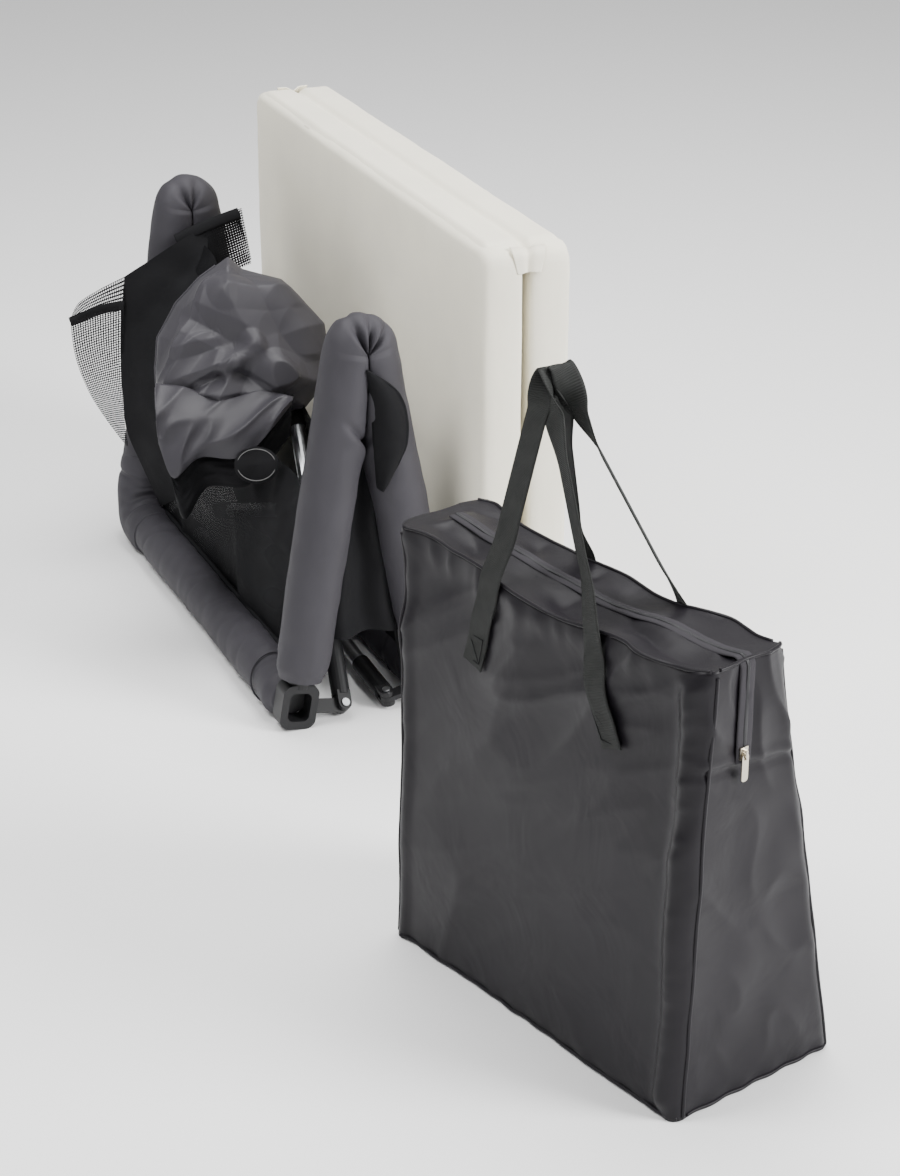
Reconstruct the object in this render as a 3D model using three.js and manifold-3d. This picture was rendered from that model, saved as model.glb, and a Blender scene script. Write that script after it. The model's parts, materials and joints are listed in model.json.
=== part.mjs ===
// A folding playpen set: the padded frame folded in half like a tent, its mattress folded in two,
// and its zipped carry bag with two webbing handles. Millimetres, +Z up, standing on Z = 0.
// "near" is the half of the frame at -X and "far" the half at +X; "right" is the side at low Y.
import * as THREE from 'three';
import Module from 'manifold-3d';
import { mergeVertices } from 'three/addons/utils/BufferGeometryUtils.js';

const wasm = await Module();
wasm.setup();

// Where the three things stand.
const FRAME_X = -65;
const FRAME_Y = 78;
const MATTRESS_X = 101;
const MATTRESS_Y = -10;
const MATTRESS_TURN = -1.3;
const BAG_X = -266;
const BAG_Y = -544;
const BAG_TURN = 14.9;

// Folding frame.
const RAIL_LENGTH = 570;
const SPAN = 840;
const TILT = 10;
const HINGE_HEIGHT = 597.4;
const HINGE_OFFSET = 17.5;
const TUBE_RADIUS = 12.5;
const TUBE_WALL = 1.2;
const SLEEVE_RADIUS = 43.5;
const SLEEVE_TOP = 75;
const END_SLEEVE_RADIUS = 38;
const CORNER_WIDTH = 60;
const CORNER_HEIGHT = 74;
const CORNER_DEPTH = 34;
const CORNER_BOSS = 60;
const WINDOW_WIDTH = 36;
const WINDOW_HEIGHT = 48;

// Folding legs, in the axes of their knuckle: x out of the frame, y along the folded leg.
const LEG_DROP = 5;
const LINK_START = CORNER_WIDTH / 2 + 0.3;
const LINK_END = 80;
const LINK_RADIUS = 11;
const LINK_THICKNESS = 8;
const SOCKET_RADIUS = 15;
const SOCKET_START = 16;
const SOCKET_END = 112;
const LEG_START = 34;
const LEG_END = 515;
const FOOT_START = 490;
const RIVET_RADIUS = 4;
const BUTTON_TRAVEL = 2.5;

// Soft parts held between the two halves.
const WALL_THICKNESS = 3;
const WALL_MARGIN = 50;
const WALL_BOTTOM = 518;
const NEAR_WALL_TOP = 330;
const FAR_WALL_TOP = 85;
const SIDE_WALL_TOP = 100;
const SIDE_WALL_BOTTOM = 400;
const SIDE_WALL_INSET = 62;

// Mattress.
const PANEL_LENGTH = 1094;
const PANEL_HEIGHT = 764;
const PANEL_THICKNESS = 64;
const PANEL_GAP = 13;
const PANEL_EDGE = 9;
const PANEL_CORNER = 26;
const SPINE_THICKNESS = 2.5;

// Bag: its profile across the depth, then its length.
const BAG_LENGTH = 558;
const BAG_HEIGHT = 601;
const BAG_DEPTH = 267;
const BAG_TOP_FRONT = 20;
const BAG_TOP_BACK = 141;
const BAG_WALL = 4;
const ZIP_X = 80;
const ZIP_SLOT = 10;
const ZIP_TAPE = 30;
const ZIP_TAPE_THICKNESS = 1.5;
const ZIP_END = 30;
const ZIP_DROP = 130;
const STRAP_WIDTH = 38;
const STRAP_THICKNESS = 2.5;
const HANDLE_HINGE_HEIGHT = 605;
const HANDLE_HEIGHT = 265;

const GAP = 0.3;
const deg = THREE.MathUtils.degToRad;

function material(color, roughness, metalness = 0) {
  return new THREE.MeshStandardMaterial({ color, roughness, metalness });
}

const SILVER = material(0xb9bcc0, 0.3, 1);
const BLACK_PLASTIC = material(0x1d1d1f, 0.55);
const BLACK_RUBBER = material(0x141414, 0.85);
const GREY_FABRIC = material(0x55555c, 0.85);
const GREY_NYLON = material(0x5a5960, 0.45);
const BLACK_MESH = material(0x161618, 0.9);
const CREAM_FABRIC = material(0xe6e3d6, 0.9);
const BAG_NYLON = material(0x47464c, 0.4);
const WEBBING = material(0x2c2e2d, 0.8);
const ZIP_METAL = material(0xa9a294, 0.35, 1);
const BUTTON_GREY = material(0x8f9094, 0.6);

function addPart(group, name, geometry, look) {
  const mesh = new THREE.Mesh(geometry, look);
  mesh.name = name;
  group.add(mesh);
  return mesh;
}

function toSolid(geometry) {
  const bare = geometry.index ? geometry.toNonIndexed() : geometry.clone();
  bare.deleteAttribute('normal');
  bare.deleteAttribute('uv');
  const merged = mergeVertices(bare, 1e-4);
  return new wasm.Manifold(new wasm.Mesh({
    numProp: 3,
    vertProperties: new Float32Array(merged.attributes.position.array),
    triVerts: new Uint32Array(merged.index.array),
  }));
}

function toGeometry(solid) {
  const mesh = solid.getMesh();
  const geometry = new THREE.BufferGeometry();
  geometry.setAttribute('position', new THREE.BufferAttribute(mesh.vertProperties, 3));
  geometry.setIndex(new THREE.BufferAttribute(mesh.triVerts, 1));
  geometry.computeVertexNormals();
  return geometry;
}

function join(geometries) {
  return toGeometry(geometries.map(toSolid).reduce((whole, piece) => whole.add(piece)));
}

function cut(geometry, cutters) {
  return toGeometry(cutters.map(toSolid).reduce((rest, piece) => rest.subtract(piece), toSolid(geometry)));
}

// A box from its lowest to its highest corner.
function block(low, high) {
  const size = high.map((value, axis) => value - low[axis]);
  const geometry = new THREE.BoxGeometry(...size);
  return geometry.translate(...low.map((value, axis) => value + size[axis] / 2));
}

function roundedRect(width, height, radius) {
  const shape = new THREE.Shape();
  const x = width / 2 - radius;
  const y = height / 2 - radius;
  shape.absarc(x, y, radius, 0, Math.PI / 2);
  shape.absarc(-x, y, radius, Math.PI / 2, Math.PI);
  shape.absarc(-x, -y, radius, Math.PI, Math.PI * 1.5);
  shape.absarc(x, -y, radius, Math.PI * 1.5, Math.PI * 2);
  return shape;
}

function extrude(shape, depth, curveSegments = 6) {
  return new THREE.ExtrudeGeometry(shape, { depth, bevelEnabled: false, curveSegments });
}

// A round bar or pipe along +Z from start to end.
function bar(radius, start, end, bore = 0, sides = 20) {
  const shape = new THREE.Shape();
  shape.absarc(0, 0, radius, 0, Math.PI * 2);
  if (bore > 0) {
    const hole = new THREE.Path();
    hole.absarc(0, 0, bore, 0, Math.PI * 2, true);
    shape.holes.push(hole);
  }
  return extrude(shape, end - start, sides / 2).translate(0, 0, start);
}

function barAlongY(radius, start, end, bore = 0, sides = 20) {
  return bar(radius, start, end, bore, sides).rotateX(-Math.PI / 2);
}

// ---- Frame half: axes at the centre hinge, x towards the inside of the fold, rails hanging down.

const tubeX = -HINGE_OFFSET;
const tubeBore = TUBE_RADIUS - TUBE_WALL;
const sleeveBore = TUBE_RADIUS + GAP;
const buttonBed = tubeX - TUBE_RADIUS - 1;

function cornerBracket(facing) {
  const ring = roundedRect(CORNER_WIDTH, CORNER_HEIGHT, 16);
  ring.holes.push(roundedRect(WINDOW_WIDTH, WINDOW_HEIGHT, 10));
  const loop = extrude(ring, CORNER_DEPTH).rotateX(Math.PI / 2).translate(0, CORNER_DEPTH / 2, 0);
  const boss = barAlongY(22, CORNER_DEPTH / 2 - 6, CORNER_BOSS);
  const collar = bar(19, CORNER_HEIGHT / 2 - 6, CORNER_HEIGHT / 2 + 8);
  const endBore = barAlongY(TUBE_RADIUS + GAP, CORNER_DEPTH / 2, CORNER_BOSS + 1);
  const railBore = bar(TUBE_RADIUS + GAP, WINDOW_HEIGHT / 2 - 1, CORNER_HEIGHT / 2 + 9);
  const bracket = cut(join([loop, boss, collar]), [endBore, railBore]);
  return bracket.rotateZ(facing > 0 ? 0 : Math.PI).translate(tubeX, 0, -RAIL_LENGTH);
}

function railTube() {
  const lowEnd = -RAIL_LENGTH + WINDOW_HEIGHT / 2;
  return bar(TUBE_RADIUS, lowEnd, -18, tubeBore, 20).translate(tubeX, 0, 0);
}

// The foam sleeve is flattened against the other half's sleeve where the fold squeezes them.
function railSleeve() {
  const lowEnd = -RAIL_LENGTH + SLEEVE_RADIUS + 2;
  const sleeve = bar(SLEEVE_RADIUS, lowEnd, -SLEEVE_TOP, sleeveBore, 24).translate(tubeX, 0, 0);
  const otherHalf = block([-1, -100, -RAIL_LENGTH * 2], [200, 100, 50]).rotateY(-deg(TILT));
  return cut(sleeve, [otherHalf]);
}

function endTube() {
  const start = CORNER_DEPTH / 2 + GAP;
  return barAlongY(TUBE_RADIUS, start, SPAN - start, tubeBore).translate(tubeX, 0, -RAIL_LENGTH);
}

function endSleeve() {
  const start = CORNER_BOSS + GAP;
  return barAlongY(END_SLEEVE_RADIUS, start, SPAN - start, sleeveBore, 24)
    .translate(tubeX, 0, -RAIL_LENGTH);
}

// The housing grips the rail's end, and its ears reach the hinge pin.
function hingeHousing(ears, hasButton) {
  const body = block([-36, -16, -72], [-1, 16, -15]);
  const bore = bar(TUBE_RADIUS + GAP, -73, -17.5).translate(tubeX, 0, 0);
  const reach = ears.flatMap(([low, high]) => [
    barAlongY(10, low, high),
    block([-16, low, -34], [-1.5, high, 0]),
  ]);
  const buttonHole = block([-45, -7, -50], [buttonBed, 7, -36]);
  const pinHole = barAlongY(RIVET_RADIUS + GAP, -40, 40);
  return cut(join([body, ...reach]), [bore, pinHole, ...(hasButton ? [buttonHole] : [])]);
}

function hingePin() {
  const shaft = barAlongY(RIVET_RADIUS, -19, 19);
  const heads = [-19, 16.5].map((start) => barAlongY(7, start, start + 2.5));
  return join([shaft, ...heads]);
}

function latchButton() {
  return block([-39.5, -6.5, -49.5], [buttonBed - BUTTON_TRAVEL - 0.5, 6.5, -36.5]);
}

// ---- Leg, in knuckle axes: x out of the frame half, y along the folded leg, z along the rivet.

function legLink() {
  const shape = new THREE.Shape();
  shape.moveTo(LINK_START, -LINK_RADIUS);
  shape.lineTo(LINK_END, -LINK_RADIUS);
  shape.absarc(LINK_END, 0, LINK_RADIUS, -Math.PI / 2, Math.PI / 2);
  shape.lineTo(LINK_START, LINK_RADIUS);
  const hole = new THREE.Path();
  hole.absarc(LINK_END, 0, RIVET_RADIUS + GAP, 0, Math.PI * 2, true);
  shape.holes.push(hole);
  return extrude(shape, LINK_THICKNESS, 10).translate(0, 0, -LINK_THICKNESS / 2);
}

function legRivet() {
  const half = SOCKET_RADIUS;
  const shaft = bar(RIVET_RADIUS, -half, half, 0, 12);
  const heads = [-half - 1, half - 1].map((start) => bar(6.5, start, start + 2, 0, 12));
  return join([shaft, ...heads]).translate(LINK_END, 0, 0);
}

function legSocket() {
  const ears = [-1, 1].map((side) => {
    const inner = side * (LINK_THICKNESS / 2 + 0.6);
    const outer = side * (SOCKET_RADIUS - 2);
    const [low, high] = [Math.min(inner, outer), Math.max(inner, outer)];
    const plate = block([-LINK_RADIUS, 0, low], [LINK_RADIUS, SOCKET_START + 6, high]);
    return join([plate, bar(LINK_RADIUS, low, high, 0, 12)]);
  });
  const body = barAlongY(SOCKET_RADIUS, SOCKET_START, SOCKET_END);
  const bore = barAlongY(TUBE_RADIUS + GAP, LEG_START - GAP, SOCKET_END + 1);
  const rivetHole = bar(RIVET_RADIUS + GAP, -40, 40, 0, 12);
  return cut(join([body, ...ears]), [bore, rivetHole]).translate(LINK_END, 0, 0);
}

function legTube() {
  return barAlongY(TUBE_RADIUS, LEG_START, LEG_END, tubeBore, 18).translate(LINK_END, 0, 0);
}

function legFoot() {
  const inner = TUBE_RADIUS + GAP;
  const outer = TUBE_RADIUS + 3;
  const end = LEG_END + 6;
  const profile = [
    [inner, FOOT_START], [outer, FOOT_START], [outer, end - 2], [outer - 2, end],
    [0, end], [0, LEG_END + GAP], [inner, LEG_END + GAP], [inner, FOOT_START],
  ].map(([radius, height]) => new THREE.Vector2(radius, height));
  return new THREE.LatheGeometry(profile, 18).translate(LINK_END, 0, 0);
}

function addLeg(half, corner) {
  const knuckle = new THREE.Group();
  const turn = corner.facing > 0 ? corner.rise : 180 - corner.rise;
  knuckle.position.set(tubeX, corner.y, -RAIL_LENGTH - LEG_DROP);
  knuckle.rotation.x = deg(turn);
  half.add(knuckle);
  addPart(knuckle, `leg_link_${corner.name}`, legLink(), BLACK_PLASTIC);
  addPart(knuckle, `leg_rivet_${corner.name}`, legRivet(), SILVER);
  addPart(knuckle, `leg_socket_${corner.name}`, legSocket(), BLACK_PLASTIC);
  addPart(knuckle, `leg_tube_${corner.name}`, legTube(), SILVER);
  addPart(knuckle, `leg_foot_${corner.name}`, legFoot(), BLACK_RUBBER);
}

// ---- Mesh walls, in the axes of a frame half, and the side walls between the halves.

function endWall(top) {
  const half = WALL_THICKNESS / 2;
  return block([tubeX - half, WALL_MARGIN, -WALL_BOTTOM], [tubeX + half, SPAN - WALL_MARGIN, -top]);
}

function sideWall(y) {
  const halfWidth = (depth) => HINGE_OFFSET + depth * Math.tan(deg(TILT)) - 6;
  const shape = new THREE.Shape();
  shape.moveTo(-halfWidth(SIDE_WALL_BOTTOM), -SIDE_WALL_BOTTOM);
  shape.lineTo(halfWidth(SIDE_WALL_BOTTOM), -SIDE_WALL_BOTTOM);
  shape.lineTo(halfWidth(SIDE_WALL_TOP), -SIDE_WALL_TOP);
  shape.lineTo(-halfWidth(SIDE_WALL_TOP), -SIDE_WALL_TOP);
  return extrude(shape, WALL_THICKNESS).rotateX(Math.PI / 2).translate(0, y, 0);
}

// The gathered floor of the playpen, bunched between the halves.
function floorBundle() {
  return new THREE.SphereGeometry(1, 20, 14).rotateX(Math.PI / 2).scale(85, 125, 145)
    .translate(-60, 430, -152);
}

// A flat oval tab to pull the floor up by.
function pullTab() {
  const shape = new THREE.Shape();
  shape.absellipse(0, 0, 36, 29, 0, Math.PI * 2);
  return extrude(shape, WALL_THICKNESS, 10).rotateX(Math.PI / 2).translate(-56, 300, -283);
}

function addHalf(frame, side, ears, corners) {
  const half = new THREE.Group();
  half.rotation.y = deg(TILT);
  frame.add(half);
  addPart(half, `${side}_end_tube`, endTube(), SILVER);
  addPart(half, `${side}_end_sleeve`, endSleeve(), GREY_FABRIC);
  for (const corner of corners) {
    const place = (geometry) => geometry.translate(0, corner.y, 0);
    addPart(half, `rail_tube_${corner.name}`, place(railTube()), SILVER);
    addPart(half, `rail_sleeve_${corner.name}`, place(railSleeve()), GREY_FABRIC);
    addPart(half, `corner_bracket_${corner.name}`, place(cornerBracket(corner.facing)), BLACK_PLASTIC);
    const hasButton = side === 'far';
    const housing = hingeHousing(ears, hasButton);
    addPart(half, `hinge_housing_${corner.name}`, place(housing), BLACK_PLASTIC);
    if (hasButton) {
      addPart(half, `latch_button_${corner.name}`, place(latchButton()), BUTTON_GREY);
    }
    addLeg(half, corner);
  }
  return half;
}

function buildFrame() {
  const frame = new THREE.Group();
  frame.position.set(FRAME_X, FRAME_Y, HINGE_HEIGHT);
  const near = addHalf(frame, 'near', [[-15, -6], [6, 15]], [
    { name: 'near_right', y: 0, facing: 1, rise: 45 },
    { name: 'near_left', y: SPAN, facing: -1, rise: 5 },
  ]);
  const farSide = new THREE.Group();
  farSide.rotation.z = Math.PI;
  farSide.position.y = SPAN;
  frame.add(farSide);
  const far = addHalf(farSide, 'far', [[-5.4, 5.4]], [
    { name: 'far_left', y: 0, facing: 1, rise: 22 },
    { name: 'far_right', y: SPAN, facing: -1, rise: 5 },
  ]);
  addPart(frame, 'hinge_pin_right', hingePin(), SILVER);
  addPart(frame, 'hinge_pin_left', hingePin().translate(0, SPAN, 0), SILVER);
  addPart(near, 'near_mesh_wall', endWall(NEAR_WALL_TOP), BLACK_MESH);
  addPart(far, 'far_mesh_wall', endWall(FAR_WALL_TOP), BLACK_MESH);
  addPart(frame, 'right_mesh_wall', sideWall(SIDE_WALL_INSET), BLACK_MESH);
  addPart(frame, 'left_mesh_wall', sideWall(SPAN - SIDE_WALL_INSET), BLACK_MESH);
  addPart(frame, 'floor_fabric', floorBundle(), GREY_NYLON);
  addPart(frame, 'pull_tab', pullTab(), WEBBING);
  return frame;
}

// ---- Mattress: axes at the front panel's lower right corner, x through the thickness.

function mattressPanel() {
  const shape = roundedRect(PANEL_LENGTH - 2 * PANEL_EDGE, PANEL_HEIGHT - 2 * PANEL_EDGE, PANEL_CORNER);
  const panel = new THREE.ExtrudeGeometry(shape, {
    depth: PANEL_THICKNESS - 2 * PANEL_EDGE,
    bevelThickness: PANEL_EDGE,
    bevelSize: PANEL_EDGE,
    bevelSegments: 3,
    curveSegments: 6,
  });
  return panel.rotateX(Math.PI / 2).rotateZ(Math.PI / 2)
    .translate(PANEL_EDGE, PANEL_LENGTH / 2, PANEL_HEIGHT / 2);
}

function buildMattress() {
  const mattress = new THREE.Group();
  mattress.position.set(MATTRESS_X, MATTRESS_Y, 0);
  mattress.rotation.z = deg(MATTRESS_TURN);
  const backStart = PANEL_THICKNESS + PANEL_GAP;
  const spine = block(
    [PANEL_EDGE, 40, PANEL_HEIGHT + GAP],
    [PANEL_THICKNESS + PANEL_GAP / 2, PANEL_LENGTH - 40, PANEL_HEIGHT + GAP + SPINE_THICKNESS],
  );
  addPart(mattress, 'mattress_front_panel', mattressPanel(), CREAM_FABRIC);
  addPart(mattress, 'mattress_back_panel', mattressPanel().translate(backStart, 0, 0), CREAM_FABRIC);
  addPart(mattress, 'mattress_spine', spine, CREAM_FABRIC);
  return mattress;
}

// ---- Bag: axes at its far front lower corner, x through the depth, the bag lying along -y.

function bagProfile(inset) {
  const shape = new THREE.Shape();
  shape.moveTo(inset, inset);
  shape.lineTo(BAG_DEPTH - inset * 1.25, inset);
  shape.lineTo(BAG_TOP_BACK - inset * 0.8, BAG_HEIGHT - inset);
  shape.lineTo(BAG_TOP_FRONT + inset, BAG_HEIGHT - inset);
  return shape;
}

function bagSolid(inset) {
  return extrude(bagProfile(inset), BAG_LENGTH - 2 * inset).rotateX(Math.PI / 2)
    .translate(0, -inset, 0);
}

function bagShell() {
  const half = ZIP_SLOT / 2;
  const topSlot = block([ZIP_X - half, -BAG_LENGTH - 5, BAG_HEIGHT - 10],
    [ZIP_X + half, -ZIP_END, BAG_HEIGHT + 5]);
  const endSlot = block([ZIP_X - half, -BAG_LENGTH - 5, BAG_HEIGHT - ZIP_DROP],
    [ZIP_X + half, -BAG_LENGTH + 10, BAG_HEIGHT + 5]);
  return cut(bagSolid(0), [bagSolid(BAG_WALL), topSlot, endSlot]);
}

// The zip's tape runs along the top and turns down the near end.
function zipTape() {
  const top = BAG_HEIGHT + GAP;
  const face = -BAG_LENGTH - GAP;
  const shape = new THREE.Shape();
  shape.moveTo(-ZIP_END + 8, top);
  shape.lineTo(-ZIP_END + 8, top + ZIP_TAPE_THICKNESS);
  shape.lineTo(face - ZIP_TAPE_THICKNESS, top + ZIP_TAPE_THICKNESS);
  shape.lineTo(face - ZIP_TAPE_THICKNESS, top - ZIP_DROP - 8);
  shape.lineTo(face, top - ZIP_DROP - 8);
  shape.lineTo(face, top);
  return extrude(shape, ZIP_TAPE).rotateX(Math.PI / 2).rotateZ(Math.PI / 2)
    .translate(ZIP_X - ZIP_TAPE / 2, 0, 0);
}

function zipSlider() {
  const face = -BAG_LENGTH - GAP * 2 - ZIP_TAPE_THICKNESS;
  const bottom = BAG_HEIGHT - ZIP_DROP + 4;
  const body = block([ZIP_X - 6, face - 3, bottom], [ZIP_X + 6, face, bottom + 16]);
  const bridge = block([ZIP_X - 1.5, face - 8, bottom + 3], [ZIP_X + 1.5, face - 1, bottom + 13]);
  const eye = block([ZIP_X - 3, face - 6.6, bottom + 5], [ZIP_X + 3, face - 3.2, bottom + 11]);
  return cut(join([body, bridge]), [eye]);
}

function zipPull() {
  const face = -BAG_LENGTH - GAP * 2 - ZIP_TAPE_THICKNESS;
  const bottom = BAG_HEIGHT - ZIP_DROP + 4;
  const shape = roundedRect(10, 36, 4);
  shape.holes.push(new THREE.Path(roundedRect(4.6, 6, 1).getPoints(3).map((point) =>
    point.add(new THREE.Vector2(0, 13)))));
  return extrude(shape, 1.6, 3).rotateX(Math.PI / 2)
    .translate(ZIP_X, face - 4.1, bottom - 9.7);
}

// A strap that rises from two feet on the top edge and meets itself at the hand grip.
function handle(feet, apex) {
  const half = STRAP_WIDTH / 2;
  const grip = STRAP_WIDTH * 0.75;
  const [left, right] = feet;
  const shape = new THREE.Shape();
  shape.moveTo(left + half, 0);
  shape.lineTo(apex + grip, HANDLE_HEIGHT);
  shape.lineTo(apex - grip, HANDLE_HEIGHT);
  shape.lineTo(right - half, 0);
  shape.lineTo(right + half, 0);
  shape.lineTo(apex, HANDLE_HEIGHT - STRAP_WIDTH * 1.2);
  shape.lineTo(left - half, 0);
  return extrude(shape, STRAP_THICKNESS).rotateX(Math.PI / 2).rotateZ(Math.PI / 2);
}

function addHandle(bag, name, footX, lean, feet, apex) {
  const pivot = new THREE.Group();
  pivot.position.set(footX, 0, HANDLE_HINGE_HEIGHT);
  pivot.rotation.y = deg(lean);
  bag.add(pivot);
  addPart(pivot, name, handle(feet, apex).translate(-STRAP_THICKNESS / 2, 0, 0), WEBBING);
}

function buildBag() {
  const bag = new THREE.Group();
  bag.position.set(BAG_X, BAG_Y, 0);
  bag.rotation.z = deg(BAG_TURN);
  addPart(bag, 'bag_shell', bagShell(), BAG_NYLON);
  addPart(bag, 'bag_zip_tape', zipTape(), BLACK_MESH);
  addPart(bag, 'bag_zip_slider', zipSlider(), ZIP_METAL);
  addPart(bag, 'bag_zip_pull', zipPull(), ZIP_METAL);
  addHandle(bag, 'bag_handle_front', BAG_TOP_FRONT, 12, [-176, -344], -215);
  addHandle(bag, 'bag_handle_back', BAG_TOP_BACK, -11, [-182, -400], -240);
  return bag;
}

const playpen = new THREE.Group();
playpen.add(buildFrame());
playpen.add(buildMattress());
playpen.add(buildBag());

export default playpen;
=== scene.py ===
"""Looks of the folded playpen set: padded frame, netting, gathered nylon floor, mattress and carry bag."""
import json
from math import atan2, copysign, cos, exp, hypot, pi, radians, sin, sqrt, tan, tau

import bpy
import numpy as np
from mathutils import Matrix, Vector, noise


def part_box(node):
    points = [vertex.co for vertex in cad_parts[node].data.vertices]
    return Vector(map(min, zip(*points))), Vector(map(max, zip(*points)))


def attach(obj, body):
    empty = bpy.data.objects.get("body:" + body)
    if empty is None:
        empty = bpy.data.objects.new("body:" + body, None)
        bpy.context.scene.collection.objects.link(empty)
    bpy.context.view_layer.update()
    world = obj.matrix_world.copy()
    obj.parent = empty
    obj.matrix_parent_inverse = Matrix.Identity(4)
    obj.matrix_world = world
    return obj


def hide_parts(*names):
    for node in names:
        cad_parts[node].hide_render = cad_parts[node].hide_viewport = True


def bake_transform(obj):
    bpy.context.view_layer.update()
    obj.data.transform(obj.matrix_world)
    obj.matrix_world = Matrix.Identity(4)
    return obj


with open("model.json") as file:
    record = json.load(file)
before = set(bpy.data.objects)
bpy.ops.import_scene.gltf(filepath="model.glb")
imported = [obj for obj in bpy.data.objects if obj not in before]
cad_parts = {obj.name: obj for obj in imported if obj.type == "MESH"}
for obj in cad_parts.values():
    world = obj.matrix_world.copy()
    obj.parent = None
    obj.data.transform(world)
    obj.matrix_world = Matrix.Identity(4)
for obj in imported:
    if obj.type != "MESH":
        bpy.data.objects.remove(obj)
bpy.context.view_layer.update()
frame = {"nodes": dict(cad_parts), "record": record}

# ---- Driving values, metres and radians -------------------------------------------------------
TILT = radians(10)
RAIL_LENGTH = 0.57
TUBE_OFFSET = 0.0175
SLEEVE_RADIUS = 0.0425
SLEEVE_END_GAP = 0.046
END_RADIUS = 0.0415
CORNER_RADIUS = 0.0462
TIP_RADIUS = 0.0155
TIP_RISE = 0.012
TIP_SHARE = 0.16
NET_WIDTH, SIDE_NET_WIDTH = 0.78, 0.43
FLAP_WIDTH = 0.30
SPINE_WIDTH, GUSSET_WIDTH = 1.06, 0.04
FLOOR_GAP = 0.0012
BAG_TURN = radians(14.9)
BAG_LENGTH, BAG_HEIGHT, BAG_DEPTH = 0.558, 0.601, 0.267
BAG_TOP_FRONT, BAG_TOP_BACK = 0.020, 0.141
BAG_CORNER = 0.014
BAG_SIDE_SHARES = (0.17, 0.33, 0.17, 0.33)
PIPING_RADIUS = 0.0024
ZIP_X = 0.080
ZIP_BOTTOM = 0.470
ZIP_INSET = 0.0030
ZIP_TURN = 0.008
MATTRESS_TURN = radians(-1.3)
MATTRESS_LENGTH, MATTRESS_HEIGHT = 1.094, 0.764
PANEL_THICKNESS, PANEL_GAP = 0.064, 0.013
PANEL_CORNER, PANEL_EDGE, PANEL_WRAP = 0.026, 0.015, 0.30
STRAP_WIDTH = 0.036
STRAP_SHIFT_LEFT, STRAP_SHIFT_RIGHT = -0.0135, -0.024
NET_PITCH = 0.0042
CAMERA_HEIGHT = 1.87
CAMERA_FROM_CORNER = (-1.200, -3.398)
CAMERA_TILT = radians(24.41)
CAMERA_TURN = radians(23.3)
CAMERA_LENS = 78.5
UP = Vector((0, 0, 1))


def centre(node):
    """Middle of a CAD node's box."""
    low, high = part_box(node)
    return (low + high) / 2


HINGE = {side: centre("hinge_pin_" + side) for side in ("right", "left")}
HINGE_X, HINGE_Z = HINGE["right"].x, HINGE["right"].z
RIGHT_Y, LEFT_Y = HINGE["right"].y, HINGE["left"].y
SPAN_Y = LEFT_Y - RIGHT_Y
TOWARDS = Vector((-sin(CAMERA_TURN) * cos(CAMERA_TILT),
                  -cos(CAMERA_TURN) * cos(CAMERA_TILT), sin(CAMERA_TILT)))
ACROSS = Vector((cos(CAMERA_TURN), -sin(CAMERA_TURN), 0))
UPWARDS = TOWARDS.cross(ACROSS)


# ---- Small tools -------------------------------------------------------------------------------
def wave(point, scale, seed=0.0):
    """Smooth noise, from about -1 to 1."""
    return noise.noise(Vector(point) * scale + Vector((seed, seed * 1.7, seed * 2.3)))


def ridge(point, scale, seed=0.0):
    """Sharp creases between soft hollows, from 0 to 1."""
    return (1 - abs(wave(point, scale, seed))) ** 3


def bell(value, width):
    """One at zero, falling off on both sides."""
    return exp(-(value / width) ** 2)


def smooth(low, high, value):
    """From 0 at low to 1 at high, with soft ends."""
    t = min(max((value - low) / (high - low), 0.0), 1.0)
    return t * t * (3 - 2 * t)


def along(points, t):
    """A point on a smooth line through the listed points, t from 0 to 1."""
    points = [Vector(p) for p in points]
    last = len(points) - 1
    place = min(max(t, 0.0), 1.0) * last
    start = min(int(place), last - 1)
    part = place - start
    before, here, ahead, after = (points[min(max(k, 0), last)] for k in range(start - 1, start + 3))
    return 0.5 * (2 * here + (ahead - before) * part
                  + (2 * before - 5 * here + 4 * ahead - after) * part ** 2
                  + (3 * here - before - 3 * ahead + after) * part ** 3)


def length_of(path, steps):
    """Length of that line, measured in steps."""
    return sum((along(path, (i + 1) / steps) - along(path, i / steps)).length for i in range(steps))


def turned(origin, angle, x, y, z):
    """A point in the axes of something that stands turned about the vertical."""
    return origin + Vector((x * cos(angle) - y * sin(angle),
                            x * sin(angle) + y * cos(angle), z))


def rounded_side(k, run, width, length, corner):
    """A point along side k of a rounded rectangle from 0, 0, or along the bend that follows it."""
    straight = (length if k % 2 else width) - 2 * corner
    heading = k * pi / 2
    start_x = corner if k in (0, 3) else width - corner
    start_y = corner if k in (0, 1) else length - corner
    ahead = min(run, straight)
    turn = heading - pi / 2 + max(run - straight, 0.0) / corner
    return (start_x + ahead * cos(heading) + corner * cos(turn),
            start_y + ahead * sin(heading) + corner * sin(turn))


def side_run(k, width, length, corner):
    """Length of that side with its bend."""
    return (length if k % 2 else width) - 2 * corner + corner * pi / 2


def add_mesh(name, points, faces, uvs):
    """A smooth mesh object with one place on the cloth, in metres, for each of its points."""
    mesh = bpy.data.meshes.new(name)
    mesh.from_pydata([tuple(p) for p in points], [], faces)
    layer = mesh.uv_layers.new(name="cloth")
    for loop in mesh.loops:
        layer.data[loop.index].uv = uvs[loop.vertex_index]
    mesh.update()
    mesh.shade_smooth()
    piece = bpy.data.objects.new(name, mesh)
    bpy.context.scene.collection.objects.link(piece)
    return piece


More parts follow.
